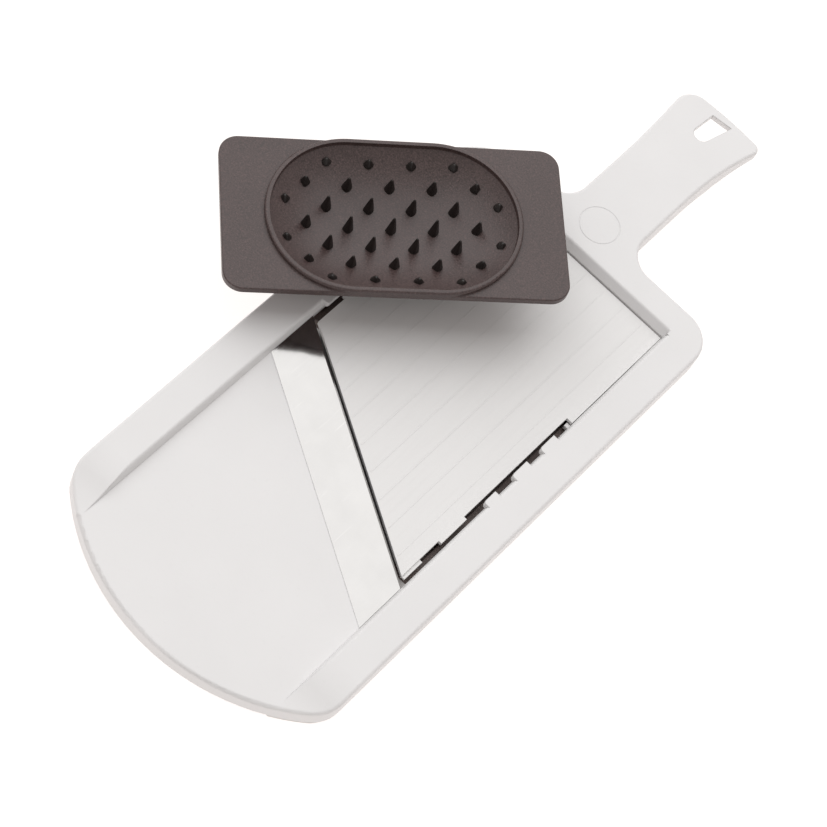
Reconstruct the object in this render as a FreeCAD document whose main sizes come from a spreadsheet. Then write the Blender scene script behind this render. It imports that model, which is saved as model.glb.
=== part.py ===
import FreeCAD, Part
import math
import os
import Sketcher

# Hand-held mandoline slicer with a lifting ramp, a wedge adjuster and a spiked hand guard.
# X runs across the slicer, +Y from the front tip to the handle, +Z up. Lengths are millimetres.
# While it is built, the front tip is at Y 0 and the feet stand on Z 0; the finished set is then
# moved so that the origin is the middle of the whole object's box, at the level of the feet.

SIZES = (
    # name, value, meaning
    ("half_width", 59.0, "half the width over the rails"),
    ("front_radius", 83.0, "radius of the bowed front edge"),
    ("front_corner", 13.0, "radius where the bow meets a side"),
    ("rear_edge", 233.85, "rear edge of the frame behind the ramp"),
    ("rear_corner_right", 12.5, "radius of the right rear corner"),
    ("rear_corner_left", 26.5, "radius of the left rear corner"),
    ("handle_tip", 312.0, "far end of the handle"),
    ("handle_right", 15.1, "right side of the handle's waist"),
    ("handle_left", 14.2, "left side of the handle's waist"),
    ("flare_start_right", 272.0, "where the right side starts to widen"),
    ("flare_start_left", 262.0, "where the left side starts to widen"),
    ("flare_right", 143.0, "radius of the widening right side"),
    ("flare_left", 480.0, "radius of the widening left side"),
    ("handle_crown", 150.0, "radius of the bowed tip"),
    ("crown_offset", 5.0, "the crown's middle, right of the centre line"),
    ("tip_corner_right", 3.0, "radius of the tip's right corner"),
    ("tip_corner_left", 8.0, "radius of the tip's left corner"),
    ("handle_root", 10.7, "radius where the handle meets the frame"),
    ("handle_wall", 2.0, "thickness of the handle's skirt"),
    ("handle_plate", 2.4, "thickness of the handle's top"),
    ("tip_rise_start", 285.0, "where the handle's lower edge starts to rise"),
    ("tip_bottom", 11.6, "lower edge of the handle at its tip"),
    ("skirt_bottom", 4.5, "lower edge of the skirt"),
    ("table_top", 11.0, "level of the feeding table and of the blade"),
    ("rail_top", 14.5, "level of the rails and the handle"),
    ("wall", 2.5, "thickness of the skirt"),
    ("hollow_top", 8.5, "underside of the table"),
    ("rail_hollow_top", 12.0, "underside of the rails"),
    ("rail_foot", 44.7, "half the table's width between the rails"),
    ("rail_slope", 1.0, "run of the rails' sloping inner faces"),
    ("rear_wall", 220.7, "foot of the sloping wall behind the ramp"),
    ("rear_slope", 2.0, "run of that wall"),
    ("fade_front", 15.0, "where the rails have sunk to the table's level"),
    ("fade_rear", 38.0, "where the rails start to sink towards the front"),
    ("edge_round", 1.2, "rounding of the outer top edges"),
    ("bank_round", 1.2, "rounding above the sloping inner faces"),
    ("blade_back", 80.6, "Y of the blade's back edge on the centre line"),
    ("blade_width", 18.6, "width of the blade strip"),
    ("blade_skew", 30.54, "angle of the blade to the X axis"),
    ("blade_thick", 1.2, "thickness of the blade"),
    ("seat_width", 6.0, "part of the blade that lies on the frame"),
    ("ramp_gap", 1.46, "gap between the cutting edge and the ramp"),
    ("ramp_drop", 0.5, "ramp below the blade at the thinnest setting"),
    ("ramp_thick", 1.6, "thickness of the ramp plate"),
    ("ramp_narrow", 41.9, "half the ramp's width beside the slots"),
    ("ramp_wide", 44.4, "half the ramp's width behind the slots"),
    ("ramp_pad", 43.2, "half the ramp's width over its edge pads"),
    ("slot_end", 168.6, "rear end of the side slots"),
    ("wedge_high", 6.6, "top of the adjuster's wedges"),
    ("wedge_slope", 0.25, "rise of the wedges per millimetre"),
    ("travel", 8.0, "travel of the adjuster"),
    ("wedge_gap", 0.1, "running gap between a wedge and its foot"),
    ("slide_bottom", 2.5, "underside of the adjuster"),
    ("arm_thick", 1.3, "thickness of the adjuster's arms"),
    ("arm_inner", 36.5, "inner edge of the adjuster's arms"),
    ("arm_outer", 48.0, "outer edge of the adjuster's arms"),
    ("slide_rear", 208.0, "rear edge of the adjuster's bar at rest"),
    ("guard_length", 120.5, "length of the guard's plate"),
    ("guard_width", 60.5, "width of the guard's plate"),
    ("guard_thick", 2.6, "thickness of the guard's plate"),
    ("rim_radius", 30.4, "outer end radius of the guard's oval rim"),
    ("rim_straight", 14.9, "half the straight part of the oval"),
    ("rim_height", 1.7, "height of the rim above the plate"),
    ("bowl_radius", 28.5, "end radius of the oval bowl"),
    ("bowl_depth", 9.0, "depth of the bowl"),
    ("cap_depth", 18.2, "depth of the palm grip below the plate"),
    ("pin_pitch_long", 7.55, "half the spacing of the spikes along the guard"),
    ("pin_pitch_cross", 7.75, "spacing of the rows of spikes"),
    ("pin_radius", 1.6, "radius of a spike at its root"),
    ("guard_x", -46.7, "guard's centre as it lies on the left rail"),
    ("guard_y", 165.3, "guard's centre along the slicer"),
    ("guard_z", 35.0, "level of the guard's centre"),
    ("guard_yaw", 45.0, "guard's long side, turned from the X axis"),
    ("guard_tilt", 4.3, "rise of the guard's inner end"),
)

doc = FreeCAD.newDocument("MandolineSlicer")
sheet = doc.addObject("Spreadsheet::Sheet", "Sizes")
for row, (name, value, meaning) in enumerate(SIZES, start=1):
    sheet.set(f"A{row}", meaning)
    sheet.set(f"B{row}", str(value))
    sheet.setAlias(f"B{row}", name)
doc.recompute()

V = FreeCAD.Vector
UP = V(0, 0, 1)
parts = []


def size(name):
    """A driving dimension, read from the sheet."""
    return float(sheet.get(name))


# --- Small drawing kit -------------------------------------------------------------------------

def new_body(name):
    body = doc.addObject("PartDesign::Body", name)
    body.Label = name
    parts.append(body)
    return body


def keep(shape_object, name):
    """Mark a finished Part object as one sub-part."""
    shape_object.Label = name
    parts.append(shape_object)
    return shape_object


def sketch_on(body, name, role, level):
    """Empty sketch on one of the body's own origin planes, moved along the plane's normal."""
    sketch = body.newObject("Sketcher::SketchObject", name)
    plane = [item for item in body.Origin.OriginFeatures if item.Role == role][0]
    sketch.AttachmentSupport = (plane, [""])
    sketch.MapMode = "FlatFace"
    sketch.setExpression("AttachmentOffset.Base.z", level)
    return sketch


def line(start, end):
    return ("line", start, end)


def arc(centre, radius, start_angle, end_angle):
    """Arc in degrees, run anticlockwise when end_angle is the larger."""
    return ("arc", centre, radius, start_angle, end_angle)


def draw(sketch, path):
    """Add a closed path of lines and arcs and pin each end to the next start."""
    ends = []
    for step in path:
        if step[0] == "line":
            piece = Part.LineSegment(V(*step[1], 0), V(*step[2], 0))
            index = sketch.addGeometry(piece, False)
            ends.append((index, 1, 2))
            continue
        _, centre, radius, first, last = step
        circle = Part.Circle(V(*centre, 0), UP, radius)
        low, high = math.radians(min(first, last)), math.radians(max(first, last))
        index = sketch.addGeometry(Part.ArcOfCircle(circle, low, high), False)
        ends.append((index, 1, 2) if last > first else (index, 2, 1))
    for here, there in zip(ends, ends[1:] + ends[:1]):
        sketch.addConstraint(Sketcher.Constraint("Coincident", here[0], here[2], there[0], there[1]))
    return sketch


def polygon(sketch, points):
    return draw(sketch, [line(a, b) for a, b in zip(points, points[1:] + points[:1])])


def chain(points):
    """Open run of lines through the points."""
    return [line(a, b) for a, b in zip(points, points[1:])]


def point_on(centre, radius, angle):
    turn = math.radians(angle)
    return (centre[0] + radius * math.cos(turn), centre[1] + radius * math.sin(turn))


def mirrored(path):
    """Mirror image of an open path about the vertical axis, run so that it leads back."""
    other = []
    for step in reversed(path):
        if step[0] == "line":
            other.append(line((-step[2][0], step[2][1]), (-step[1][0], step[1][1])))
        else:
            other.append(arc((-step[1][0], step[1][1]), step[2], 180 - step[4], 180 - step[3]))
    return other


def circle_on(sketch, centre, radius_expression):
    index = sketch.addGeometry(Part.Circle(V(*centre, 0), UP, 1.0), False)
    number = sketch.addConstraint(Sketcher.Constraint("Radius", index, 1.0))
    sketch.setExpression(f"Constraints[{number}]", radius_expression)


def pad(body, sketch, length, both_ways=False):
    feature = body.newObject("PartDesign::Pad", sketch.Name + "_pad")
    feature.Profile = sketch
    feature.setExpression("Length", length)
    feature.Midplane = both_ways
    sketch.Visibility = False
    return feature


def pocket(body, sketch, length=None, both_ways=False, forward=False):
    """Cut against the sketch's normal, or with it if forward; all the way if no length is given."""
    doc.recompute()
    before = body.Shape.Volume
    feature = body.newObject("PartDesign::Pocket", sketch.Name + "_pocket")
    feature.Profile = sketch
    if length is None:
        feature.Type = 1
    else:
        feature.setExpression("Length", length)
    feature.Midplane = both_ways
    feature.Reversed = forward
    sketch.Visibility = False
    doc.recompute()
    if body.Shape.Volume > before - 1e-6:
        raise RuntimeError(sketch.Name + " cuts nothing")
    return feature


def block(body, kind, name, low, high):
    """PartDesign box between two corners; kind is Additive or Subtractive."""
    feature = body.newObject(f"PartDesign::{kind}Box", name)
    for side, axis, a, b in zip(("Length", "Width", "Height"), "xyz", low, high):
        feature.setExpression(side, f"({b}) - ({a})")
        feature.setExpression(f"Placement.Base.{axis}", str(a))
    return feature


def post(body, kind, name, centre, radius, low, high):
    """PartDesign upright cylinder; kind is Additive or Subtractive."""
    feature = body.newObject(f"PartDesign::{kind}Cylinder", name)
    feature.setExpression("Radius", str(radius))
    feature.setExpression("Height", f"({high}) - ({low})")
    feature.setExpression("Placement.Base.x", str(centre[0]))
    feature.setExpression("Placement.Base.y", str(centre[1]))
    feature.setExpression("Placement.Base.z", str(low))
    return feature


def round_edges(body, name, radius, wanted):
    """Round every edge for which wanted(edge) is true."""
    doc.recompute()
    base = body.Tip
    names = [f"Edge{i}" for i, edge in enumerate(base.Shape.Edges, start=1) if wanted(edge)]
    feature = body.newObject("PartDesign::Fillet", name)
    feature.Base = (base, names)
    feature.setExpression("Radius", str(radius))
    return feature


def middle(edge):
    return edge.valueAt((edge.FirstParameter + edge.LastParameter) / 2)


def meet(first, first_radius, second, second_radius):
    """The crossing of two circles that has the larger Y."""
    dx, dy = second[0] - first[0], second[1] - first[1]
    gap = math.hypot(dx, dy)
    along = (first_radius ** 2 - second_radius ** 2 + gap ** 2) / (2 * gap)
    across = math.sqrt(first_radius ** 2 - along ** 2)
    points = [(first[0] + (along * dx - turn * across * dy) / gap,
               first[1] + (along * dy + turn * across * dx) / gap) for turn in (-1, 1)]
    return max(points, key=lambda point: point[1])


def heading(centre, point):
    return math.degrees(math.atan2(point[1] - centre[1], point[0] - centre[0]))


# --- Outlines that several sub-parts share -----------------------------------------------------

def tray_outline(inset):
    """Frame without its handle: bowed front, straight sides and rounded rear corners."""
    side = size("half_width") - inset
    bow = size("front_radius") - inset
    bow_centre = (0.0, size("front_radius"))
    corner = size("front_corner") - inset
    corner_x = side - corner
    corner_y = bow_centre[1] - math.sqrt((bow - corner) ** 2 - corner_x ** 2)
    turn = heading(bow_centre, (corner_x, corner_y))
    rear = size("rear_edge") - inset
    right, left = size("rear_corner_right") - inset, size("rear_corner_left") - inset
    return [
        arc(bow_centre, bow, -180 - turn, turn),
        arc((corner_x, corner_y), corner, turn, 0),
        line((side, corner_y), (side, rear - right)),
        arc((side - right, rear - right), right, 0, 90),
        line((side - right, rear), (left - side, rear)),
        arc((left - side, rear - left), left, 90, 180),
        line((-side, rear - left), (-side, corner_y)),
        arc((-corner_x, corner_y), corner, 180, 180 - turn),
    ]


def handle_run(hand, inset, root):
    """One side of the handle from Y = root to the crown, drawn as a right side.

    It comes with the angle at which it meets the crown, whose middle lies off the centre line.
    """
    waist, start = size("handle_" + hand), size("flare_start_" + hand)
    flare = size("flare_" + hand)
    corner = size("tip_corner_" + hand) - inset
    flare_centre = (waist + flare, start)
    crown = size("handle_crown") - inset
    offset = size("crown_offset") if hand == "right" else -size("crown_offset")
    crown_centre = (offset, size("handle_tip") - size("handle_crown"))
    hub = meet(flare_centre, flare + inset + corner, crown_centre, crown - corner)
    side_turn, tip_turn = heading(flare_centre, hub), heading(crown_centre, hub)
    run = [
        line((waist - inset, root), (waist - inset, start)),
        arc(flare_centre, flare + inset, 180, side_turn),
        arc(hub, corner, side_turn - 180, tip_turn),
    ]
    return run, tip_turn


def handle_sides(inset, root):
    """Open run round the handle, from the right side at Y = root over the tip to the left side."""
    right, right_turn = handle_run("right", inset, root)
    left, left_turn = handle_run("left", inset, root)
    crown_centre = (size("crown_offset"), size("handle_tip") - size("handle_crown"))
    crown = arc(crown_centre, size("handle_crown") - inset, right_turn, 180 - left_turn)
    return right + [crown] + mirrored(left)


SKEW = math.tan(math.radians(size("blade_skew")))
LEAN = math.cos(math.radians(size("blade_skew")))


def skew_y(x, offset):
    """Y of the line parallel to the blade, offset square to it from the blade's back edge."""
    return size("blade_back") + offset / LEAN - SKEW * x


def skew_strip(low, high, reach):
    """Parallelogram between two lines parallel to the blade and the planes X = +-reach."""
    return [
        (-reach, skew_y(-reach, low)),
        (reach, skew_y(reach, low)),
        (reach, skew_y(reach, high)),
        (-reach, skew_y(-reach, high)),
    ]


# Spans of Y that the frame's tabs cover above each side slot, left then right.
REAR_TABS = ((134.1, 142.3), (149.5, 157.4))
TABS = {-1: REAR_TABS, 1: ((119.0, 125.2),) + REAR_TABS}
TAB_REACH, TAB_THICK, TAB_ROUND = 43.45, 2.8, 1.3
# Retaining screws on each side, left then right.
RETAINER_SPAN = {-1: (134.0, 203.0), 1: (96.0, 203.0)}
SCREW_ROWS = {-1: (142.0, 169.0, 196.0), 1: (104.0, 135.0, 166.0, 196.0)}
SCREW_X = 52.0
SCREW_RADIUS = 1.0
RETAINER_LOW, RETAINER_HIGH = 1.0, 2.2
RIVET_X = 39.0
RIVET_OFFSET = 2.6
RIVET_RADIUS = 0.9
SPRING_X, SPRING_SCREW_Y = 20.0, 227.0
RING_Y = 235.6
REAR_FOOT, REAR_FOOT_RADIUS = (52.2, 208.9), 3.8
# Rear end of each foot under the ramp, by side.
RAMP_FEET = ((1, 103.0), (-1, 146.0), (1, 188.0), (-1, 188.0))
FOOT_LENGTH = 3.0
FOOT_INNER, FOOT_OUTER = 37.5, 41.0

# --- Frame: one moulding with rails, feeding table, skirt and handle ---------------------------

frame = new_body("frame")
tray = draw(sketch_on(frame, "tray_outline", "XY_Plane", "Sizes.skirt_bottom"), tray_outline(0.0))
pad(frame, tray, "Sizes.rail_top - Sizes.skirt_bottom")

root = size("handle_root")
root_right, root_left = size("handle_right") + root, size("handle_left") + root
root_y = size("rear_edge") + root
inside_y = size("rear_edge") - 3.0
handle_path = handle_sides(0.0, root_y) + [
    arc((-root_left, root_y), root, 0, -90),
    line((-root_left, size("rear_edge")), (-root_left, inside_y)),
    line((-root_left, inside_y), (root_right, inside_y)),
    line((root_right, inside_y), (root_right, size("rear_edge"))),
    arc((root_right, root_y), root, 270, 180),
]
handle = draw(sketch_on(frame, "handle_outline", "XY_Plane", "Sizes.skirt_bottom"), handle_path)
pad(frame, handle, "Sizes.rail_top - Sizes.skirt_bottom")

# The rails sink to the level of the table towards the front, on two equal arcs.
fade = sketch_on(frame, "rail_fade", "YZ_Plane", "0")
fade_front, fade_rear = size("fade_front"), size("fade_rear")
half_run = (fade_rear - fade_front) / 2
half_drop = (size("rail_top") - size("table_top")) / 2
fade_radius = (half_run ** 2 + half_drop ** 2) / (2 * half_drop)
fade_turn = math.degrees(math.asin(half_run / fade_radius))
above, ahead = size("rail_top") + 3, -2.0
draw(fade, [
    arc((fade_front, size("table_top") + fade_radius), fade_radius, -90, fade_turn - 90),
    arc((fade_rear, size("rail_top") - fade_radius), fade_radius, 90 + fade_turn, 90),
] + chain([(fade_rear, size("rail_top")), (fade_rear, above), (ahead, above),
           (ahead, size("table_top")), (fade_front, size("table_top"))]))
pocket(frame, fade, "4 * Sizes.half_width", both_ways=True)


def outer_top(edge):
    """Edges of the upper outline: not upright, not underneath, not a seam across the top."""
    ends = [vertex.Point for vertex in edge.Vertexes]
    if len(ends) < 2 or min(end.z for end in ends) < size("table_top") - 0.5:
        return False
    seam = abs(middle(edge).x) < 1 and 1 < middle(edge).y < fade_rear + 1
    return not seam


round_edges(frame, "outer_rounding", "Sizes.edge_round", outer_top)


def soft_bank(foot_at, run):
    """Sloping face from the table up to the rails, whose upper edge is rounded."""
    low, high, soft = size("table_top"), size("rail_top"), size("bank_round")
    lean = math.degrees(math.atan2(run, high - low))
    centre_z = high - soft
    centre_x = foot_at + (centre_z - low) * run / (high - low) + soft / math.cos(math.radians(lean))
    centre = (centre_x, centre_z)
    return [
        line((foot_at, low), point_on(centre, soft, 180 - lean)),
        arc(centre, soft, 180 - lean, 90),
        line((centre[0], high), (centre[0], above)),
    ]


# Sunken bed between the rails, with sloping inner faces.
bed = sketch_on(frame, "bed_section", "XZ_Plane", "0")
foot = size("rail_foot")
bank = soft_bank(foot, size("rail_slope"))
bank_top = bank[-1][2]
draw(bed, bank + [line(bank_top, (-bank_top[0], bank_top[1]))] + mirrored(bank)
     + [line((-foot, size("table_top")), (foot, size("table_top")))])
pocket(frame, bed, "Sizes.rear_wall")
rear = sketch_on(frame, "rear_wall_slope", "YZ_Plane", "0")
rear_bank = soft_bank(size("rear_wall"), size("rear_slope"))
before_wall = size("rear_wall") - 1
draw(rear, rear_bank + chain([rear_bank[-1][2], (before_wall, rear_bank[-1][2][1]),
                              (before_wall, size("table_top")), (size("rear_wall"), size("table_top"))]))
pocket(frame, rear, "2 * Sizes.rail_foot + Sizes.rail_slope", both_ways=True)

# Hollow underside.
inner = draw(sketch_on(frame, "inner_outline", "XY_Plane", "Sizes.hollow_top"), tray_outline(size("wall")))
pocket(frame, inner)
for side in (-1, 1):
    low_x, high_x = sorted((side * 48.4, side * (size("half_width") - size("wall"))))
    block(frame, "Subtractive", f"rail_hollow_{'left' if side < 0 else 'right'}",
          (low_x, 38.0, 0.0), (high_x, 204.5, "Sizes.rail_hollow_top"))
handle_hollow = sketch_on(frame, "handle_hollow", "XY_Plane", "Sizes.rail_top - Sizes.handle_plate")
handle_wall, hollow_root = size("handle_wall"), size("rear_edge") + size("wall")
hollow_left, hollow_right = handle_wall - size("handle_left"), size("handle_right") - handle_wall
draw(handle_hollow, handle_sides(handle_wall, hollow_root) + [
    line((hollow_left, hollow_root), (hollow_right, hollow_root))])
pocket(frame, handle_hollow)
tip_rise = sketch_on(frame, "tip_rise", "YZ_Plane", "0")
polygon(tip_rise, [(size("tip_rise_start"), size("skirt_bottom")), (size("handle_tip"), size("tip_bottom")),
                   (size("handle_tip") + 2, size("tip_bottom")), (size("handle_tip") + 2, 0.0),
                   (size("tip_rise_start"), 0.0)])
pocket(frame, tip_rise, "4 * Sizes.handle_right", both_ways=True)

# Window under the ramp, from the blade's seat to the rear wall, and the seat itself.
window = sketch_on(frame, "window", "XY_Plane", "Sizes.table_top")
polygon(window, [(-foot, skew_y(-foot, size("seat_width"))), (foot, skew_y(foot, size("seat_width"))),
                 (foot, size("rear_wall")), (-foot, size("rear_wall"))])
pocket(frame, window)
seat = sketch_on(frame, "blade_seat", "XY_Plane", "Sizes.table_top")
polygon(seat, skew_strip(0.0, size("blade_width"), foot))
pocket(frame, seat, "Sizes.blade_thick")
rib = sketch_on(frame, "seat_rib", "XY_Plane", "Sizes.skirt_bottom")
polygon(rib, skew_strip(-1.0, size("seat_width"), size("half_width") - size("wall")))
pad(frame, rib, "Sizes.table_top - Sizes.blade_thick - Sizes.skirt_bottom")


def tab_front(edge):
    """The upright edge at the front inner corner of a tab."""
    ends = [vertex.Point for vertex in edge.Vertexes]
    fronts = [start for spans in TABS.values() for start, end in spans]
    upright = len(ends) == 2 and abs(ends[0].z - ends[1].z) > 1
    at = middle(edge)
    return upright and abs(abs(at.x) - TAB_REACH) < 0.01 and min(abs(at.y - y) for y in fronts) < 0.01


# Tabs that reach over the side slots from the rails.
for side in (-1, 1):
    for number, (start, end) in enumerate(TABS[side], start=1):
        low_x, high_x = sorted((side * TAB_REACH, side * (foot + 2.6)))
        block(frame, "Additive", f"tab_{'left' if side < 0 else 'right'}_{number}",
              (low_x, start, f"Sizes.rail_top - {TAB_THICK}"), (high_x, end, "Sizes.rail_top"))
round_edges(frame, "tab_rounding", TAB_ROUND, tab_front)
# A low stop at the rear end of each side slot.
STOP_LENGTH, STOP_LOW, STOP_TOP = 1.8, 7.0, 9.0
for side in (-1, 1):
    low_x, high_x = sorted((side * 42.8, side * (foot + 0.5)))
    block(frame, "Additive", f"slot_stop_{'left' if side < 0 else 'right'}",
          (low_x, size("slot_end") - 0.3 - STOP_LENGTH, STOP_LOW),
          (high_x, size("slot_end") - 0.3, STOP_TOP))

# Guides and screw posts for the adjuster's retainers.
for side in (-1, 1):
    hand = "left" if side < 0 else "right"
    start, end = RETAINER_SPAN[side]
    low_x, high_x = sorted((side * 48.3, side * 49.8))
    block(frame, "Additive", f"guide_{hand}", (low_x, start, RETAINER_HIGH), (high_x, end, 9.0))
    for number, y in enumerate(SCREW_ROWS[side], start=1):
        post(frame, "Additive", f"screw_post_{hand}_{number}", (side * SCREW_X, y), 2.8,
             RETAINER_HIGH, "Sizes.rail_hollow_top + 0.5")
        post(frame, "Subtractive", f"screw_hole_{hand}_{number}", (side * SCREW_X, y), SCREW_RADIUS,
             RETAINER_HIGH - 1, 9.2)
post(frame, "Subtractive", "spring_screw_hole", (SPRING_X, SPRING_SCREW_Y), SCREW_RADIUS, 8.0, 12.6)
for x in (-RIVET_X, RIVET_X):
    hand = "left" if x < 0 else "right"
    post(frame, "Subtractive", f"rivet_hole_{hand}", (x, skew_y(x, RIVET_OFFSET)), RIVET_RADIUS,
         6.6, 10.5)

# Hanging slot: a lopsided keystone with its wide end towards the tip. Both flanks lean to the
# right; each is given by its lean in degrees and the Y of its far end.
SLOT_CENTRE, SLOT_ROUND = (0.55, 297.8), 3.25
LEFT_LEAN, LEFT_END = 4.2, 307.8
RIGHT_LEAN, RIGHT_END = 13.3, 308.9


def flank(start_angle, lean, end_y):
    """Start and end of one flank of the slot; it leaves the round end at start_angle."""
    start = point_on(SLOT_CENTRE, SLOT_ROUND, start_angle)
    return start, (start[0] + (end_y - start[1]) * math.tan(math.radians(lean)), end_y)


right_start, right_end = flank(-RIGHT_LEAN, RIGHT_LEAN, RIGHT_END)
left_start, left_end = flank(180 - LEFT_LEAN, LEFT_LEAN, LEFT_END)
hang = sketch_on(frame, "hanging_slot", "XY_Plane", "Sizes.rail_top")
draw(hang, chain([right_start, right_end, left_end, left_start]) + [
    arc(SLOT_CENTRE, SLOT_ROUND, 180 - LEFT_LEAN, 360 - RIGHT_LEAN)])
pocket(frame, hang)

# Shallow ring on the handle's root.
RING_RADIUS, RING_LINE, RING_DEPTH = 7.9, 0.35, 0.08
ring = sketch_on(frame, "ring_mark", "XY_Plane", "Sizes.rail_top")
circle_on(ring, (0.0, RING_Y), str(RING_RADIUS))
circle_on(ring, (0.0, RING_Y), str(RING_RADIUS - RING_LINE))
pocket(frame, ring, str(RING_DEPTH))

# --- Blade, its carrier and rivets -------------------------------------------------------------
# These are drawn along the blade: local X runs along it, local Y square to it from its back edge.

SKEW_TURN = math.radians(size("blade_skew"))
ALONG_BLADE = FreeCAD.Placement(V(0, size("blade_back"), 0), FreeCAD.Rotation(UP, -size("blade_skew")))


def blade_strip(low, high, reach):
    """Strip along the blade whose slanting ends lie in the planes X = +-reach of the frame."""
    def end(side, offset):
        return (side * reach - offset * math.sin(SKEW_TURN)) / math.cos(SKEW_TURN)
    return [(end(-1, low), low), (end(1, low), low), (end(1, high), high), (end(-1, high), high)]


def rivet_place(x):
    """Local place of a rivet at the frame's X."""
    return ((x - RIVET_OFFSET * math.sin(SKEW_TURN)) / math.cos(SKEW_TURN), RIVET_OFFSET)


RIVETS = [rivet_place(x) for x in (-RIVET_X, RIVET_X)]
# The rivets are studs under the blade: they end just below its upper face.
STUD_LOW, STUD_TOP = 6.8, "Sizes.table_top - 0.25"
BLADE_REACH = size("rail_foot") - 0.1

blade = new_body("blade")
strip = sketch_on(blade, "blade_strip", "XY_Plane", "Sizes.table_top - Sizes.blade_thick")
polygon(strip, blade_strip(0.05, size("blade_width"), BLADE_REACH))
pad(blade, strip, "Sizes.blade_thick")
for number, place in enumerate(RIVETS, start=1):
    post(blade, "Subtractive", f"blade_hole_{number}", place, RIVET_RADIUS, 9.0, STUD_TOP)
# Two bevels leave a keen edge just under the top face.
keen = size("blade_width") + 0.02
bevels = (("upper_bevel", 0.15, -0.1, 1.0), ("lower_bevel", 0.2, size("blade_thick") + 0.1, 3.4))
for name, edge_depth, far_depth, run in bevels:
    section = sketch_on(blade, name, "YZ_Plane", "0")
    polygon(section, [(keen, size("table_top") - edge_depth), (keen - run, size("table_top") - far_depth),
                      (keen + 3.0, size("table_top") - far_depth), (keen + 3.0, size("table_top") - edge_depth)])
    pocket(blade, section, "4 * Sizes.half_width", both_ways=True)
blade.Placement = ALONG_BLADE

carrier = new_body("blade_carrier")
bar = sketch_on(carrier, "carrier_bar", "XY_Plane", "Sizes.table_top - Sizes.blade_thick - 2.8")
polygon(bar, blade_strip(size("seat_width") + 0.3, size("seat_width") + 7.3, BLADE_REACH))
pad(carrier, bar, "2.8")
carrier.Placement = ALONG_BLADE


def group(name, members, placement=None):
    """One node that holds several separate solids."""
    doc.recompute()
    node = doc.addObject("Part::Compound", name)
    node.Links = members
    keep(node, name)
    if placement is not None:
        node.Placement = placement
    return node


rivets = []
for number, place in enumerate(RIVETS, start=1):
    rivet = doc.addObject("Part::Cylinder", f"rivet_{number}")
    rivet.Radius = RIVET_RADIUS
    rivet.setExpression("Height", f"{STUD_TOP} - {STUD_LOW}")
    rivet.Placement.Base = V(place[0], place[1], STUD_LOW)
    rivets.append(rivet)
group("blade_rivets", rivets, ALONG_BLADE)

# --- Screws: shank, countersunk head and a cross recess ----------------------------------------

HEAD_RADIUS, HEAD_DEPTH, RECESS = 2.0, 1.0, 0.55


def screw(name, place, underside, reach):
    """Countersunk screw driven upwards from underside to the level reach."""
    shank = doc.addObject("Part::Cylinder", name + "_shank")
    shank.Radius = SCREW_RADIUS
    shank.Height = reach - underside
    head = doc.addObject("Part::Cone", name + "_head")
    head.Radius1, head.Radius2, head.Height = HEAD_RADIUS, SCREW_RADIUS, HEAD_DEPTH
    body = doc.addObject("Part::MultiFuse", name + "_body")
    body.Shapes = [shank, head]
    slots = []
    for turn in (0, 90):
        slot = doc.addObject("Part::Box", f"{name}_slot_{turn}")
        slot.Length, slot.Width, slot.Height = 2.2, 0.5, RECESS
        slot.Placement = FreeCAD.Placement(V(0, 0, 0), FreeCAD.Rotation(UP, turn)).multiply(
            FreeCAD.Placement(V(-1.1, -0.25, 0), FreeCAD.Rotation()))
        slots.append(slot)
    cross = doc.addObject("Part::MultiFuse", name + "_cross")
    cross.Shapes = slots
    cut = doc.addObject("Part::Cut", name)
    cut.Base, cut.Tool = body, cross
    cut.Placement.Base = V(place[0], place[1], underside)
    return cut


def countersink(body, name, place, underside):
    """Hole for a screw's head and shank, cut upwards from underside."""
    cone = body.newObject("PartDesign::SubtractiveCone", name + "_sink")
    cone.Radius1, cone.Radius2, cone.Height = HEAD_RADIUS, SCREW_RADIUS, HEAD_DEPTH
    cone.Placement.Base = V(place[0], place[1], underside)
    post(body, "Subtractive", name, place, SCREW_RADIUS, underside - 0.5, underside + 5.0)


retainer_screws = []
for side in (-1, 1):
    hand = "left" if side < 0 else "right"
    retainer = new_body("retainer_" + hand)
    start, end = RETAINER_SPAN[side]
    low_x, high_x = sorted((side * 44.2, side * 55.8))
    block(retainer, "Additive", f"strip_{hand}", (low_x, start, RETAINER_LOW), (high_x, end, RETAINER_HIGH))
    round_edges(retainer, f"strip_corners_{hand}", 2.0,
                lambda edge: abs(edge.Vertexes[0].Z - edge.Vertexes[1].Z) > 0.5)
    for number, y in enumerate(SCREW_ROWS[side], start=1):
        countersink(retainer, f"retainer_{hand}_hole_{number}", (side * SCREW_X, y), RETAINER_LOW)
        retainer_screws.append(
            screw(f"retainer_{hand}_screw_{number}", (side * SCREW_X, y), RETAINER_LOW, 9.0))
group("retainer_screws", retainer_screws)

# --- Detent spring: a bent strip whose nose drops into the adjuster's notches -------------------

NOSE_Y, BAR_TOP, NOTCHES = 206.0, 5.0, 5
SPRING_THICK = 0.4
spring = new_body("detent_spring")
bend = sketch_on(spring, "spring_section", "YZ_Plane", str(SPRING_X))
lower = [(231.0, 8.1), (223.6, 8.1), (220.9, 6.0), (208.4, 5.5), (207.2, 5.15), (204.8, 5.15),
         (203.0, 6.0)]
polygon(bend, lower + [(y, z + SPRING_THICK) for y, z in reversed(lower)])
pad(spring, bend, "6", both_ways=True)
post(spring, "Subtractive", "spring_hole", (SPRING_X, SPRING_SCREW_Y), SCREW_RADIUS, 7.0, 9.0)

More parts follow.
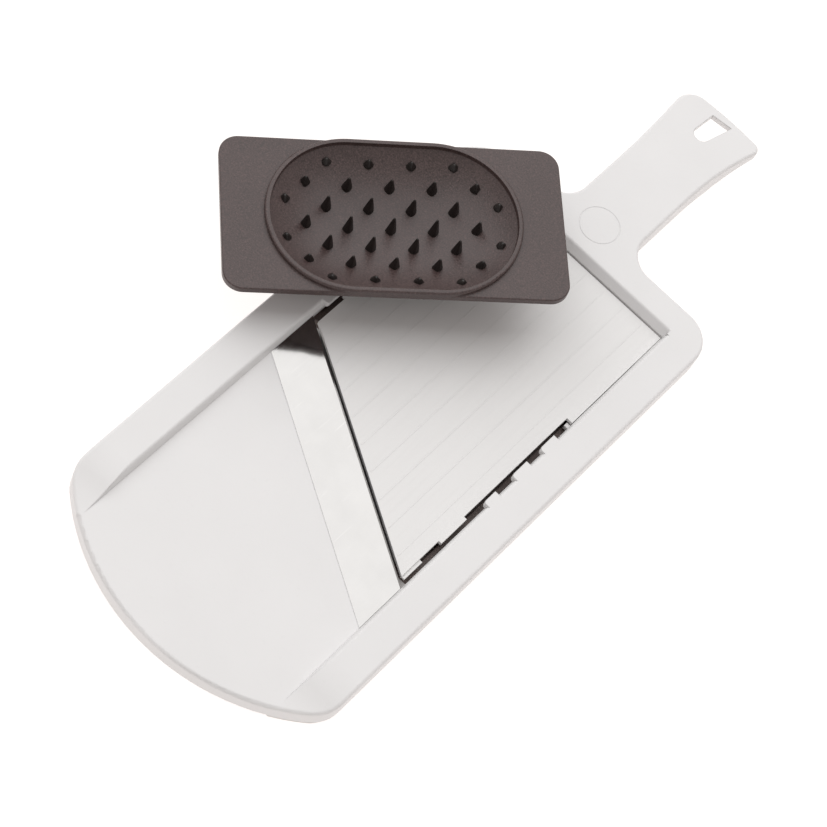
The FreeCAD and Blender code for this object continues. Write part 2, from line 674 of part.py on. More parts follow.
spring_screw_head = doc.addObject("Part::Cylinder", "spring_screw_head")
spring_screw_head.Radius, spring_screw_head.Height = HEAD_RADIUS, 1.2
spring_screw_head.Placement.Base = V(SPRING_X, SPRING_SCREW_Y, 6.9)
spring_screw_shank = doc.addObject("Part::Cylinder", "spring_screw_shank")
spring_screw_shank.Radius, spring_screw_shank.Height = SCREW_RADIUS, 5.5
spring_screw_shank.Placement.Base = V(SPRING_X, SPRING_SCREW_Y, 6.9)
spring_screw = doc.addObject("Part::MultiFuse", "detent_screw")
spring_screw.Shapes = [spring_screw_head, spring_screw_shank]
keep(spring_screw, "detent_screw")

# --- Feet --------------------------------------------------------------------------------------

FRONT_FOOT, FRONT_FOOT_RADIUS = (44.0, 26.5), 13.0
for side in (-1, 1):
    hand = "left" if side < 0 else "right"
    front = new_body("front_foot_" + hand)
    lug = draw(sketch_on(front, f"front_lug_{hand}", "XY_Plane", "0"), tray_outline(1.0))
    pad(front, lug, "Sizes.skirt_bottom")
    trim = sketch_on(front, f"front_lug_trim_{hand}", "XY_Plane", "Sizes.skirt_bottom")
    edge = 3 * size("handle_tip")
    polygon(trim, [(-edge, -edge), (edge, -edge), (edge, edge), (-edge, edge)])
    circle_on(trim, (side * FRONT_FOOT[0], FRONT_FOOT[1]), str(FRONT_FOOT_RADIUS))
    pocket(front, trim)
    round_edges(front, f"front_lug_rounding_{hand}", 1.5,
                lambda item: max(vertex.Z for vertex in item.Vertexes) < 0.01)
    post(front, "Additive", f"front_peg_{hand}", (side * 46.0, 30.0), 3.5,
         "Sizes.skirt_bottom - 0.5", "Sizes.hollow_top")
    back = new_body("rear_foot_" + hand)
    post(back, "Additive", f"rear_lug_{hand}", (side * REAR_FOOT[0], REAR_FOOT[1]), REAR_FOOT_RADIUS,
         0, "Sizes.hollow_top")
    round_edges(back, f"rear_lug_rounding_{hand}", 1.2,
                lambda item: max(vertex.Z for vertex in item.Vertexes) < 0.01)

# --- Ramp: the lifting plate behind the blade --------------------------------------------------

ramp_top = size("table_top") - size("ramp_drop")
ramp_under = ramp_top - size("ramp_thick")
lip = size("blade_width") + size("ramp_gap")
narrow, wide, reach = size("ramp_narrow"), size("ramp_wide"), size("ramp_pad")
ramp = new_body("ramp")
plate = sketch_on(ramp, "ramp_plate", "XY_Plane", "Sizes.table_top - Sizes.ramp_drop - Sizes.ramp_thick")
PADS = {-1: ((143.0, 148.6),), 1: ((98.5, 111.9),)}


def ramp_side(side):
    """Corners of one side of the ramp from its front corner to the rear, with its edge pads."""
    corners = [(side * narrow, skew_y(side * narrow, lip))]
    for start, end in PADS[side]:
        corners += [(side * narrow, start), (side * reach, start), (side * reach, end), (side * narrow, end)]
    corners += [(side * narrow, size("slot_end")), (side * wide, size("slot_end")), (side * wide, 220.1)]
    return corners


polygon(plate, ramp_side(1) + list(reversed(ramp_side(-1))))
pad(ramp, plate, "Sizes.ramp_thick")
# Low step along the right edge, from the ramp's front corner.
block(ramp, "Additive", "corner_step", (narrow - 0.3, 79.4, ramp_under), (reach, 88.7, ramp_under + 0.9))
for number, (side, rear_end) in enumerate(RAMP_FEET, start=1):
    section = sketch_on(ramp, f"ramp_foot_{number}", "YZ_Plane", str(side * (FOOT_INNER + FOOT_OUTER) / 2))
    high = size("wedge_high") + size("wedge_gap")
    polygon(section, [(rear_end - FOOT_LENGTH, high - size("wedge_slope") * FOOT_LENGTH), (rear_end, high),
                      (rear_end, ramp_under + 0.4), (rear_end - FOOT_LENGTH, ramp_under + 0.4)])
    pad(ramp, section, str(FOOT_OUTER - FOOT_INNER), both_ways=True)
for x in (-30.0, 30.0):
    block(ramp, "Additive", f"stiffener_{'left' if x < 0 else 'right'}", (x - 0.8, 130.0, ramp_under - 1.4),
          (x + 0.8, 214.0, ramp_under + 0.3))
# Fine raised lines along the slicing direction.
LINE_PITCH, LINE_WIDTH, LINE_RISE = 9.0, 0.5, 0.04
for number in range(-4, 5):
    x = number * LINE_PITCH
    block(ramp, "Additive", f"line_{number + 5}",
          (x - LINE_WIDTH / 2, skew_y(x, lip) + 1.2, ramp_top - 0.3),
          (x + LINE_WIDTH / 2, 218.5, ramp_top + LINE_RISE))

# --- Adjuster: two arms with wedges, joined by a bar, and a thumb grip under it -----------------

SLIDE_BAR = 11.0
ARM_FRONT = {-1: 131.0, 1: 82.0}
arm_top = size("slide_bottom") + size("arm_thick")
rear_edge = size("slide_rear")
slide = new_body("adjuster_slide")
block(slide, "Additive", "cross_bar", (-47.0, rear_edge - SLIDE_BAR, "Sizes.slide_bottom"),
      (47.0, rear_edge, BAR_TOP))
for side in (-1, 1):
    hand = "left" if side < 0 else "right"
    low_x, high_x = sorted((side * size("arm_inner"), side * size("arm_outer")))
    block(slide, "Additive", f"arm_{hand}", (low_x, ARM_FRONT[side], "Sizes.slide_bottom"),
          (high_x, rear_edge - 2.0, arm_top))
    low_x, high_x = sorted((side * 42.4, side * 44.2))
    block(slide, "Additive", f"arm_rib_{hand}", (low_x, ARM_FRONT[side], "Sizes.slide_bottom"),
          (high_x, rear_edge - SLIDE_BAR + 1.0, 6.3))
wedge_length = FOOT_LENGTH + size("travel") + 0.4
for number, (side, rear_end) in enumerate(RAMP_FEET, start=1):
    section = sketch_on(slide, f"wedge_{number}", "YZ_Plane", str(side * (FOOT_INNER + FOOT_OUTER) / 2))
    high, start = size("wedge_high"), rear_end - wedge_length
    polygon(section, [(start, arm_top - 0.3), (start, high - size("wedge_slope") * wedge_length),
                      (rear_end, high), (rear_end + 0.8, high), (rear_end + 0.8, arm_top - 0.3)])
    pad(slide, section, str(FOOT_OUTER - FOOT_INNER + 0.4), both_ways=True)
teeth = sketch_on(slide, "detent_notches", "YZ_Plane", str(SPRING_X))
notch_pitch = size("travel") / (NOTCHES - 1)
profile = [(NOSE_Y + 1.0, BAR_TOP + 1.0)]
for number in range(NOTCHES):
    y = NOSE_Y - number * notch_pitch
    profile += [(y + 0.6, BAR_TOP), (y, BAR_TOP - 0.5), (y - 0.6, BAR_TOP)]
profile.append((NOSE_Y - size("travel") - 1.0, BAR_TOP + 1.0))
polygon(teeth, profile)
pocket(slide, teeth, "8", both_ways=True)
GRIP_SCREWS = ((-9.0, rear_edge - 5.5), (9.0, rear_edge - 5.5))
for number, place in enumerate(GRIP_SCREWS, start=1):
    post(slide, "Subtractive", f"grip_hole_{number}", place, SCREW_RADIUS, 2.0, 4.5)

grip = new_body("adjuster_grip")
block(grip, "Additive", "grip_plate", (-17.0, rear_edge - 13.0, 1.1),
      (17.0, rear_edge + 2.0, "Sizes.slide_bottom"))
round_edges(grip, "grip_corners", 3.0, lambda edge: abs(edge.Vertexes[0].Z - edge.Vertexes[1].Z) > 0.5)
for number in range(5):
    y = rear_edge - 11.5 + number * 3.0
    for side in (-1, 1):
        low_x, high_x = sorted((side * 2.0, side * 6.3)) if number != 2 else sorted((side * 0.5, side * 6.3))
        block(grip, "Additive", f"ridge_{'left' if side < 0 else 'right'}_{number + 1}",
              (low_x, y - 0.6, 0.5), (high_x, y + 0.6, 1.3))
grip_screws = []
for number, place in enumerate(GRIP_SCREWS, start=1):
    countersink(grip, f"grip_hole_{number}", place, 1.1)
    grip_screws.append(screw(f"grip_screw_{number}", place, 1.1, 4.4))
group("grip_screws", grip_screws)

# --- Hand guard: lies upside down on the left rail, spikes up -----------------------------------
# Local X runs along the guard, local Z out of the spiked face, origin in the plate's upper face.

GUARD = FreeCAD.Placement(
    V(size("guard_x"), size("guard_y"), size("guard_z")),
    FreeCAD.Rotation(UP, size("guard_yaw")).multiply(FreeCAD.Rotation(V(0, 1, 0), -size("guard_tilt"))))


def oval_feature(body, name, kind, section):
    """Add or cut an oval form whose half section is swept along the straight and round the ends.

    kind is Pad or Pocket; section is a path in (distance from the middle, height).
    """
    run = sketch_on(body, name + "_run", "YZ_Plane", "0")
    draw(run, section + mirrored(section))
    if kind == "Pad":
        pad(body, run, "2 * Sizes.rim_straight", both_ways=True)
    else:
        pocket(body, run, "2 * Sizes.rim_straight", both_ways=True)
    for side in (-1, 1):
        end = body.newObject("Sketcher::SketchObject", f"{name}_end_{'left' if side < 0 else 'right'}")
        plane = [item for item in body.Origin.OriginFeatures if item.Role == "YZ_Plane"][0]
        end.AttachmentSupport = (plane, [""])
        end.MapMode = "FlatFace"
        end.setExpression("AttachmentOffset.Base.z", f"{side} * Sizes.rim_straight")
        draw(end, close_half(section))
        turn = "PartDesign::Revolution" if kind == "Pad" else "PartDesign::Groove"
        feature = body.newObject(turn, end.Name + "_turn")
        feature.Profile = end
        feature.ReferenceAxis = (end, ["V_Axis"])
        feature.Angle = 360.0
        end.Visibility = False


def close_half(section):
    """Close a half section along the middle line."""
    return section + [line(section_end(section[-1]), section_start(section[0]))]


def section_start(step):
    return step[1] if step[0] == "line" else point_on(step[1], step[2], step[3])


def section_end(step):
    return step[2] if step[0] == "line" else point_on(step[1], step[2], step[4])


BOWL_ARC = (size("bowl_radius") ** 2 + size("bowl_depth") ** 2) / (2 * size("bowl_depth"))
BOWL_SPREAD = math.degrees(math.asin(size("bowl_radius") / BOWL_ARC))
BOWL_WALL = 2.0


def bowl_level(x, y):
    """Height of the bowl's surface above the local point (x, y)."""
    across = math.hypot(max(abs(x) - size("rim_straight"), 0.0), y)
    return BOWL_ARC - size("bowl_depth") - math.sqrt(BOWL_ARC ** 2 - across ** 2)


guard = new_body("guard_plate")
half_long, half_wide, round_plate = size("guard_length") / 2, size("guard_width") / 2, 7.0
outline = sketch_on(guard, "guard_outline", "XY_Plane", "-Sizes.guard_thick")
in_x, in_y = half_long - round_plate, half_wide - round_plate
draw(outline, [
    line((-in_x, -half_wide), (in_x, -half_wide)), arc((in_x, -in_y), round_plate, -90, 0),
    line((half_long, -in_y), (half_long, in_y)), arc((in_x, in_y), round_plate, 0, 90),
    line((in_x, half_wide), (-in_x, half_wide)), arc((-in_x, in_y), round_plate, 90, 180),
    line((-half_long, in_y), (-half_long, -in_y)), arc((-in_x, -in_y), round_plate, 180, 270),
])
pad(guard, outline, "Sizes.guard_thick")
round_edges(guard, "guard_rounding", 0.5, lambda edge: abs(middle(edge).z) < 0.01)
rim, rise = size("rim_radius"), size("rim_height")
bead = 0.8
shell_arc = BOWL_ARC + BOWL_WALL
shell_spread = math.degrees(math.acos((BOWL_ARC - size("bowl_depth") + 2.0) / shell_arc))
shell_edge = point_on((0.0, BOWL_ARC - size("bowl_depth")), shell_arc, shell_spread - 90)
outer_section = [
    arc((0.0, BOWL_ARC - size("bowl_depth")), shell_arc, -90, shell_spread - 90),
    line(shell_edge, (rim, shell_edge[1])),
    line((rim, shell_edge[1]), (rim, rise - bead)),
    arc((rim - bead, rise - bead), bead, 0, 90),
    line((rim - bead, rise), (0.0, rise)),
]
oval_feature(guard, "bowl_shell", "Pad", outer_section)
bowl = size("bowl_radius")
inner_section = [
    arc((0.0, BOWL_ARC - size("bowl_depth")), BOWL_ARC, -90, BOWL_SPREAD - 90),
    line((bowl, 0.0), (bowl + 0.3, rise + 1.0)),
    line((bowl + 0.3, rise + 1.0), (0.0, rise + 1.0)),
]
oval_feature(guard, "bowl_hollow", "Pocket", inner_section)
guard.Placement = GUARD

cap = new_body("guard_grip")
cap_top, cap_low = -size("guard_thick"), -size("cap_depth")
CAP_SIDE, CAP_WALL, CAP_SHOULDER, CAP_CROWN = 29.8, 1.5, 6.0, 0.3
CAP_LEAN = 33.9


def dome(shrink, top):
    """Half section of the palm grip: a nearly flat crown, a round shoulder and a leaning side."""
    lean = math.radians(CAP_LEAN)
    side, low, shoulder = CAP_SIDE - shrink, cap_low + shrink, CAP_SHOULDER - shrink
    level = low + CAP_CROWN + shoulder
    flat = side - (cap_top - level) * math.tan(lean) - shoulder / math.cos(lean)
    shoulder_end = point_on((flat, level), shoulder, -CAP_LEAN)
    side_top = (side + (top - cap_top) * math.tan(lean), top)
    return chain([(0.0, low), (flat, low + CAP_CROWN)]) + [
        arc((flat, level), shoulder, -90, -CAP_LEAN),
    ] + chain([shoulder_end, side_top, (0.0, top)])


oval_feature(cap, "cap_outer", "Pad", dome(0.0, cap_top))
oval_feature(cap, "cap_inner", "Pocket", dome(CAP_WALL, cap_top + 0.001))
cap.Placement = GUARD

# Spikes stand in a diagonal lattice; each row reaches to its own outermost column.
LAST_COLUMN = {0: 4, 1: 5, 2: 4, 3: 3}
pins = []
for row in range(-3, 4):
    last = LAST_COLUMN[abs(row)]
    for column in range(-last, last + 1):
        if (column + row) % 2:
            continue
        x, y = column * size("pin_pitch_long"), row * size("pin_pitch_cross")
        reach_out = math.hypot(max(abs(x) - size("rim_straight"), 0.0), y) / size("bowl_radius")
        top = -0.3 - 0.6 * reach_out ** 2
        low = bowl_level(x, y) - 0.3
        pin = doc.addObject("Part::Cone", f"pin_{len(pins) + 1}")
        pin.setExpression("Radius1", "Sizes.pin_radius")
        pin.Radius2 = 0.25
        pin.Height = top - low
        pin.Placement.Base = V(x, y, low)
        pins.append(pin)
group("guard_pins", pins, GUARD)

# --- Check, centre and write -------------------------------------------------------------------

doc.recompute()
for item in doc.Objects:
    if "Invalid" in item.State or "Error" in item.State:
        raise RuntimeError(f"{item.Name} failed: {item.State}")
for part in parts:
    if part.Shape.isNull() or not part.Shape.isValid():
        raise RuntimeError(part.Label + " has no valid shape")

box = FreeCAD.BoundBox()
for part in parts:
    box.add(part.Shape.optimalBoundingBox())
shift = FreeCAD.Placement(V(-box.Center.x, -box.Center.y, -box.ZMin), FreeCAD.Rotation())
for part in parts:
    part.Placement = shift.multiply(part.Placement)
doc.recompute()

os.makedirs("parts", exist_ok=True)
for part in parts:
    part.Shape.exportStep(f"parts/{part.Label}.step")
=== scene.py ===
import math

import bmesh
import bpy
from mathutils import Matrix, Quaternion, Vector


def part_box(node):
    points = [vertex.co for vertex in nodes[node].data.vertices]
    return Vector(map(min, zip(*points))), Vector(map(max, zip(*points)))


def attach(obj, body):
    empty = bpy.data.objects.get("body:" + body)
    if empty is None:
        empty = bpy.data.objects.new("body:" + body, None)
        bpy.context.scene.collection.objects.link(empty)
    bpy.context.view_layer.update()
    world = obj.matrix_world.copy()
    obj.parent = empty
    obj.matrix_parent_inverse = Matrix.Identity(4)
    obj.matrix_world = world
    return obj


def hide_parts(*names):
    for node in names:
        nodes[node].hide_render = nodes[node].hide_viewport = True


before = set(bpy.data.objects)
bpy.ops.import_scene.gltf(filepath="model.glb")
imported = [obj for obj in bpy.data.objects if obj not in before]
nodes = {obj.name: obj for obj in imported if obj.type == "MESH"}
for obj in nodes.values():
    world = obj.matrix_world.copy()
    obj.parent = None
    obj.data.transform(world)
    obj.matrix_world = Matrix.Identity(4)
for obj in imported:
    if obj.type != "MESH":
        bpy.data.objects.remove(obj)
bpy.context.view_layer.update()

# Looks of a hand-held mandoline slicer around its CAD frame. Lengths are metres unless a name ends
# in MM. +Y runs from the front tip to the handle, +Z up, the feet stand on Z 0.

MM = 0.001

# --- Camera ------------------------------------------------------------------------------------

VIEW_TARGET = Vector((28.6, -28.5, 11.0)) * MM
VIEW_DISTANCE = 0.9411
VIEW_HEADING = math.radians(-74.83)
VIEW_ELEVATION = math.radians(59.15)
VIEW_ROLL = math.radians(30.04)
LENS_MM, SENSOR_MM = 119.67, 36.0


def make_camera():
    """Camera that looks down along the slicer, turned about its own axis."""
    data = bpy.data.cameras.new("camera")
    data.lens = LENS_MM
    data.sensor_width = SENSOR_MM
    camera = bpy.data.objects.new("camera", data)
    bpy.context.scene.collection.objects.link(camera)
    back = Vector((
        math.cos(VIEW_HEADING) * math.cos(VIEW_ELEVATION),
        math.sin(VIEW_HEADING) * math.cos(VIEW_ELEVATION),
        math.sin(VIEW_ELEVATION),
    ))
    level = (-back).to_track_quat("-Z", "Y")
    camera.rotation_mode = "QUATERNION"
    camera.rotation_quaternion = level @ Quaternion((0, 0, 1), VIEW_ROLL)
    camera.location = VIEW_TARGET + back * VIEW_DISTANCE
    bpy.context.scene.camera = camera


# --- Small node kit ----------------------------------------------------------------------------

class Look:
    """A material with a Principled shader and short ways to add nodes to it."""

    def __init__(self, name, colour, roughness, **sockets):
        self.material = bpy.data.materials.new(name)
        self.material.use_nodes = True
        self.tree = self.material.node_tree
        self.shader = self.tree.nodes["Principled BSDF"]
        self.shader.inputs["Base Color"].default_value = (*colour, 1.0)
        self.shader.inputs["Roughness"].default_value = roughness
        for socket, value in sockets.items():
            self.shader.inputs[socket.replace("_", " ")].default_value = value
        self.material.diffuse_color = (*colour, 1.0)
        self.place = self.node("ShaderNodeTexCoord").outputs["Object"]

    def node(self, kind, **properties):
        made = self.tree.nodes.new(kind)
        for name, value in properties.items():
            setattr(made, name, value)
        return made

    def join(self, source, target):
        self.tree.links.new(source, target)

    def noise(self, size, detail=4.0, stretch=(1.0, 1.0, 1.0), turn=0.0, seed=0.0):
        """Noise whose features are about size metres across, drawn out by stretch."""
        mapping = self.node("ShaderNodeMapping")
        self.join(self.place, mapping.inputs["Vector"])
        mapping.inputs["Location"].default_value = (seed, seed * 0.7, seed * 0.3)
        mapping.inputs["Rotation"].default_value = (0.0, 0.0, turn)
        mapping.inputs["Scale"].default_value = tuple(1.0 / (size * s) for s in stretch)
        noise = self.node("ShaderNodeTexNoise")
        noise.inputs["Scale"].default_value = 1.0
        noise.inputs["Detail"].default_value = detail
        self.join(mapping.outputs["Vector"], noise.inputs["Vector"])
        return noise.outputs["Fac"]

    def span(self, value, low, high, out_low=0.0, out_high=1.0):
        """Map low..high to out_low..out_high and hold the ends."""
        node = self.node("ShaderNodeMapRange", clamp=True)
        self.join(value, node.inputs["Value"])
        sockets = ("From Min", "From Max", "To Min", "To Max")
        for socket, number in zip(sockets, (low, high, out_low, out_high)):
            node.inputs[socket].default_value = number
        return node.outputs["Result"]

    def math(self, operation, a, b):
        node = self.node("ShaderNodeMath", operation=operation)
        for socket, value in zip(node.inputs, (a, b)):
            if isinstance(value, (int, float)):
                socket.default_value = value
            else:
                self.join(value, socket)
        return node.outputs["Value"]

    def blend(self, factor, first, second):
        """Colour between first and second, each a colour or a socket."""
        node = self.node("ShaderNodeMix", data_type="RGBA")
        self.join(factor, node.inputs["Factor"])
        for socket, value in ((node.inputs[6], first), (node.inputs[7], second)):
            if isinstance(value, tuple):
                socket.default_value = (*value, 1.0)
            else:
                self.join(value, socket)
        return node.outputs[2]

    def edges(self, radius):
        """0 on flat faces, towards 1 within radius of an edge."""
        bevel = self.node("ShaderNodeBevel", samples=4)
        bevel.inputs["Radius"].default_value = radius
        geometry = self.node("ShaderNodeNewGeometry")
        product = self.node("ShaderNodeVectorMath", operation="DOT_PRODUCT")
        self.join(bevel.outputs["Normal"], product.inputs[0])
        self.join(geometry.outputs["Normal"], product.inputs[1])
        return self.span(product.outputs["Value"], 0.995, 0.80)

    def bump(self, height, depth, strength=1.0, under=None, soften=0.0):
        """Relief of the given depth in metres on top of another normal."""
        node = self.node("ShaderNodeBump")
        node.inputs["Strength"].default_value = strength
        node.inputs["Distance"].default_value = depth
        self.join(height, node.inputs["Height"])
        if soften:
            bevel = self.node("ShaderNodeBevel", samples=4)
            bevel.inputs["Radius"].default_value = soften
            self.join(bevel.outputs["Normal"], node.inputs["Normal"])
        elif under is not None:
            self.join(under, node.inputs["Normal"])
        return node.outputs["Normal"]

    def finish(self, colour=None, roughness=None, normal=None):
        for socket, value in (("Base Color", colour), ("Roughness", roughness), ("Normal", normal)):
            if value is not None:
                self.join(value, self.shader.inputs[socket])
        return self.material


# --- Materials ---------------------------------------------------------------------------------

def scaled(colour, factor):
    return tuple(min(1.0, channel * factor) for channel in colour)


def white_plastic(name, tint, roughness, soften):
    """White moulding: faint clouding, fine scuffs along the slicer, worn and softened edges."""
    look = Look(name, tint, roughness, IOR=1.46)
    clouds = look.span(look.noise(0.045, 5.0), 0.3, 0.7)
    flecks = look.span(look.noise(0.0016, 2.0, seed=3.0), 0.62, 0.78)
    base = look.blend(clouds, scaled(tint, 0.985), scaled(tint, 1.008))
    base = look.blend(look.math("MULTIPLY", flecks, 0.25), base, scaled(tint, 0.93))
    patches = look.span(look.noise(0.006, 3.0, seed=5.0), 0.4, 0.75)
    worn = look.math("MULTIPLY", look.edges(0.0008), patches)
    base = look.blend(look.math("MULTIPLY", worn, 0.5), base, scaled(tint, 0.90))
    scuffs = look.noise(0.0009, 3.0, stretch=(1.0, 14.0, 1.0), seed=9.0)
    matt = look.span(look.noise(0.012, 4.0, seed=2.0), 0.3, 0.7, roughness - 0.06, roughness + 0.09)
    grain = look.noise(0.0006, 3.0, seed=1.0)
    relief = look.bump(grain, 0.00003, 0.35, soften=soften)
    relief = look.bump(look.span(scuffs, 0.62, 0.8), 0.00002, 0.25, under=relief)
    return look.finish(base, matt, relief)


def ramp_plastic():
    """White plate that food slides over: long fine streaks beside its raised lines."""
    tint = (0.79, 0.78, 0.775)
    look = Look("ramp_plastic", tint, 0.36, IOR=1.46)
    clouds = look.span(look.noise(0.05, 5.0, seed=7.0), 0.3, 0.7)
    streaks = look.span(look.noise(0.0011, 4.0, stretch=(1.0, 22.0, 1.0), seed=4.0), 0.45, 0.8)
    base = look.blend(clouds, scaled(tint, 0.985), scaled(tint, 1.01))
    base = look.blend(look.math("MULTIPLY", streaks, 0.35), base, scaled(tint, 0.95))
    matt = look.span(streaks, 0.0, 1.0, 0.33, 0.48)
    relief = look.bump(look.noise(0.0005, 3.0, seed=1.0), 0.00003, 0.3, soften=0.00015)
    relief = look.bump(streaks, 0.00003, 0.3, under=relief)
    return look.finish(base, matt, relief)


def brushed_steel(name, tint, roughness, turn, across):
    """Ground steel: grinding lines at the given turn, a few bright scratches, cloudy polish."""
    look = Look(name, tint, roughness, Metallic=1.0)
    lines = look.noise(0.00035, 4.0, stretch=(1.0, across, 1.0), turn=turn)
    nicks = look.noise(0.0005, 5.0, stretch=(1.0, 30.0, 1.0), turn=turn + 0.9, seed=6.0)
    scratches = look.span(nicks, 0.66, 0.72)
    clouds = look.span(look.noise(0.010, 4.0, seed=8.0), 0.3, 0.7)
    base = look.blend(clouds, scaled(tint, 0.97), scaled(tint, 1.02))
    base = look.blend(look.math("MULTIPLY", scratches, 0.3), base, scaled(tint, 1.25))
    matt = look.span(lines, 0.2, 0.8, 0.7 * roughness, 1.5 * roughness)
    relief = look.bump(lines, 0.00004 * roughness, 0.5)
    return look.finish(base, matt, relief)


def dark_plastic(name, tint, roughness, grain_size, grain_depth):
    """Dark moulding with a fine eroded grain and paler rubbed edges."""
    look = Look(name, tint, roughness, IOR=1.5)
    grain = look.noise(grain_size, 3.0)
    clouds = look.span(look.noise(0.02, 5.0, seed=4.0), 0.3, 0.7)
    base = look.blend(clouds, scaled(tint, 0.90), scaled(tint, 1.10))
    base = look.blend(look.span(grain, 0.52, 0.72), base, scaled(tint, 1.7))
    base = look.blend(look.span(grain, 0.48, 0.30), base, scaled(tint, 0.6))
    patches = look.span(look.noise(0.004, 3.0, seed=6.0), 0.35, 0.7)
    rubbed = look.math("MULTIPLY", look.edges(0.0006), patches)
    base = look.blend(look.math("MULTIPLY", rubbed, 0.5), base, scaled(tint, 1.9))
    matt = look.span(grain, 0.3, 0.7, roughness - 0.07, roughness + 0.08)
    relief = look.bump(grain, grain_depth, 0.6, soften=0.0003)
    return look.finish(base, matt, relief)


# The blade's angle to the X axis: it is ground along its length.
BLADE_SKEW = math.radians(30.54)


def make_materials():
    """Each finish by the name of the material slot it is for."""
    return {
        "white_plastic": white_plastic("white_plastic", (0.79, 0.78, 0.78), 0.40, 0.0006),
        "ramp_plastic": ramp_plastic(),
        "foot_plastic": white_plastic("foot_plastic", (0.72, 0.70, 0.68), 0.55, 0.0004),
        "blade_steel": brushed_steel("blade_steel", (0.46, 0.450, 0.443), 0.10, BLADE_SKEW, 18.0),
        "rivet_steel": brushed_steel("rivet_steel", (0.60, 0.60, 0.59), 0.35, 0.4, 4.0),
        "screw_steel": brushed_steel("screw_steel", (0.55, 0.55, 0.54), 0.35, 1.1, 3.0),
        "spring_steel": brushed_steel("spring_steel", (0.58, 0.57, 0.55), 0.30, 0.0, 10.0),
        "dark_plastic": dark_plastic("dark_plastic", (0.110, 0.080, 0.072), 0.55, 0.0007, 0.00012),
        "guard_plastic": dark_plastic("guard_plastic", (0.066, 0.043, 0.041), 0.38, 0.00055, 0.00010),
        "pin_plastic": dark_plastic("pin_plastic", (0.016, 0.012, 0.011), 0.38, 0.0005, 0.00004),
    }


def dress_frame_nodes(materials):
    """Give each CAD node the finish of the material slot it was packed with."""
    for name, node in nodes.items():
        for slot in node.material_slots:
            slot_name = slot.material.name.split(".")[0]
            slot.material = materials[slot_name]


# --- Pieces ------------------------------------------------------------------------------------

GUARD_LOW, GUARD_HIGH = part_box("guard_plate")
GUARD_LEVEL = 35.0 * MM
GUARD_CENTRE = Vector(((GUARD_LOW.x + GUARD_HIGH.x) / 2, (GUARD_LOW.y + GUARD_HIGH.y) / 2, GUARD_LEVEL))
GUARD_YAW, GUARD_TILT = math.radians(45.0), math.radians(4.3)
GUARD_PLACE = (Matrix.Translation(GUARD_CENTRE) @ Matrix.Rotation(GUARD_YAW, 4, "Z")
               @ Matrix.Rotation(-GUARD_TILT, 4, "Y"))
RIM_STRAIGHT, BOWL_RADIUS, BOWL_DEPTH = 14.9 * MM, 28.5 * MM, 9.0 * MM
PIN_PITCH = (7.55 * MM, 7.75 * MM)
PIN_HALF = 1.6 * MM
# The rows of spikes, counted from the middle, and the outermost column of each.
LAST_ROW = 3
LAST_COLUMN = {0: 4, 1: 5, 2: 4, 3: 3}
# The middle spikes end this far below the plate's face, the outer ones this much lower still.
TIP_BELOW, TIP_FALL = 0.3 * MM, 0.6 * MM
ROOT_SUNK = 0.3 * MM
RING_STEPS = 24
SPIKE_TURN = math.radians(45)
# A spike from root to tip: share of its height, half width against the root's, squareness.
SPIKE_PROFILE = ((0.0, 1.12, 0.3), (0.06, 1.02, 0.6), (0.15, 0.95, 0.9), (0.45, 0.70, 0.9),
                 (0.75, 0.44, 0.8), (0.93, 0.27, 0.6), (0.98, 0.19, 0.4), (1.0, 0.07, 0.0))


def bowl_level(x, y):
    """Height of the bowl's surface at a point of the guard."""
    radius = (BOWL_RADIUS ** 2 + BOWL_DEPTH ** 2) / (2 * BOWL_DEPTH)
    across = math.hypot(max(abs(x) - RIM_STRAIGHT, 0.0), y)
    return radius - BOWL_DEPTH - math.sqrt(radius ** 2 - across ** 2)


def spike_ring(mesh, centre, height, half, squareness):
    """Ring of a spike: between a circle (squareness 0) and a rounded square (towards 1)."""
    power = 2.0 + 3.0 * squareness
    ring = []
    for step in range(RING_STEPS):
        angle = 2 * math.pi * step / RING_STEPS
        reach = (abs(math.cos(angle)) ** power + abs(math.sin(angle)) ** power) ** (-1.0 / power)
        ring.append(mesh.verts.new((
            centre[0] + half * reach * math.cos(angle + SPIKE_TURN),
            centre[1] + half * reach * math.sin(angle + SPIKE_TURN),
            height,
        )))
    return ring


def add_spike(mesh, x, y):
    """One spike, closed at both ends, that stands in the bowl at the guard's point (x, y)."""
    reach_out = math.hypot(max(abs(x) - RIM_STRAIGHT, 0.0), y) / BOWL_RADIUS
    top = -TIP_BELOW - TIP_FALL * reach_out ** 2
    low = bowl_level(x, y) - ROOT_SUNK
    rings = [spike_ring(mesh, (x, y), low + share * (top - low), half * PIN_HALF, squareness)
             for share, half, squareness in SPIKE_PROFILE]
    for lower, upper in zip(rings, rings[1:]):
        for index, corner in enumerate(lower):
            following = (index + 1) % RING_STEPS
            mesh.faces.new((corner, lower[following], upper[following], upper[index]))
    mesh.faces.new(rings[-1])
    mesh.faces.new(list(reversed(rings[0])))


def make_spikes(material):
    """Blunt four-sided spikes that stand in the guard's bowl."""
    mesh = bmesh.new()
    for row in range(-LAST_ROW, LAST_ROW + 1):
        last = LAST_COLUMN[abs(row)]
        for column in range(-last, last + 1):
            if (column + row) % 2 == 0:
                add_spike(mesh, column * PIN_PITCH[0], row * PIN_PITCH[1])
    mesh.transform(GUARD_PLACE)
    data = bpy.data.meshes.new("guard_spikes")
    mesh.to_mesh(data)
    mesh.free()
    for face in data.polygons:
        face.use_smooth = True
    data.materials.append(material)
    spikes = bpy.data.objects.new("guard_spikes", data)
    bpy.context.scene.collection.objects.link(spikes)
    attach(spikes, "hand_guard")
    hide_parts("guard_pins")


# --- Floor and light ---------------------------------------------------------------------------

FLOOR_DROP = 0.0002
FLOOR_HALF = 3.0
FLOOR_GLOW = 0.93
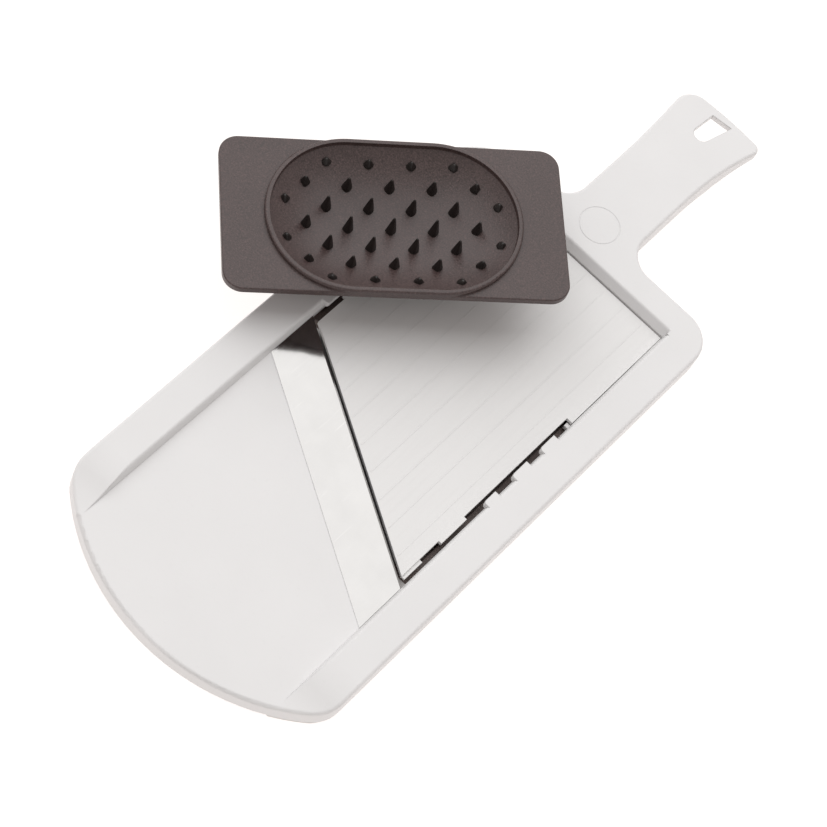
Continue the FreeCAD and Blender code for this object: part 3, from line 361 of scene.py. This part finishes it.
# Painted shade under the slicer, where the floor has no glow: its middle, its half size and the width
# of its soft border.
SHADE_PATCH_MIDDLE, SHADE_PATCH_HALF, SHADE_PATCH_SOFT = (0.0243, -0.026), (0.053, 0.105), 0.014


def make_floor():
    """Plain pale floor whose own glow hides the shadows beside the slicer; under the frame the glow
    stops, which paints shade there.
    """
    look = Look("floor", (0.25, 0.25, 0.25), 0.9)
    look.shader.inputs["Emission Color"].default_value = (1.0, 0.95, 0.925, 1.0)
    # The glow stops under the frame: painted shade under the slicer.
    place = look.node("ShaderNodeSeparateXYZ")
    look.join(look.place, place.inputs["Vector"])
    outside_shade_patch = [look.span(look.math("ABSOLUTE", look.math("SUBTRACT", place.outputs[axis], middle), 0.0),
                       half - SHADE_PATCH_SOFT, half)
             for axis, middle, half in zip("XY", SHADE_PATCH_MIDDLE, SHADE_PATCH_HALF)]
    glow = look.math("MULTIPLY", look.math("MAXIMUM", *outside_shade_patch), FLOOR_GLOW)
    look.join(glow, look.shader.inputs["Emission Strength"])
    look.shader.inputs["Specular IOR Level"].default_value = 0.1
    mesh = bmesh.new()
    bmesh.ops.create_grid(mesh, x_segments=4, y_segments=4, size=FLOOR_HALF)
    data = bpy.data.meshes.new("floor")
    mesh.to_mesh(data)
    mesh.free()
    data.materials.append(look.material)
    floor = bpy.data.objects.new("floor", data)
    floor.location.z = -FLOOR_DROP
    bpy.context.scene.collection.objects.link(floor)


def area_light(name, place, target, size, power, colour):
    """Rectangular lamp at place that shines towards target."""
    data = bpy.data.lights.new(name, "AREA")
    data.shape = "RECTANGLE"
    data.size, data.size_y = size
    data.energy = power
    data.color = colour
    lamp = bpy.data.objects.new(name, data)
    lamp.location = place
    lamp.rotation_euler = (Vector(target) - Vector(place)).to_track_quat("-Z", "Y").to_euler()
    bpy.context.scene.collection.objects.link(lamp)


def make_light():
    """Even surroundings and one very large soft box above, behind and to the left."""
    world = bpy.data.worlds.new("studio")
    world.use_nodes = True
    background = world.node_tree.nodes["Background"]
    background.inputs["Color"].default_value = (1.0, 0.96, 0.935, 1.0)
    background.inputs["Strength"].default_value = 0.54
    bpy.context.scene.world = world
    area_light("soft_box", (-1.10, 1.00, 2.5), (0.0, 0.0, 0.0), (4.4, 4.4), 81.0, (0.98, 0.995, 1.0))
    view = bpy.context.scene.view_settings
    view.view_transform = "Standard"
    view.look = "None"
    view.exposure = 0.0


make_camera()
materials = make_materials()
dress_frame_nodes(materials)
make_spikes(materials["pin_plastic"])
make_floor()
make_light()
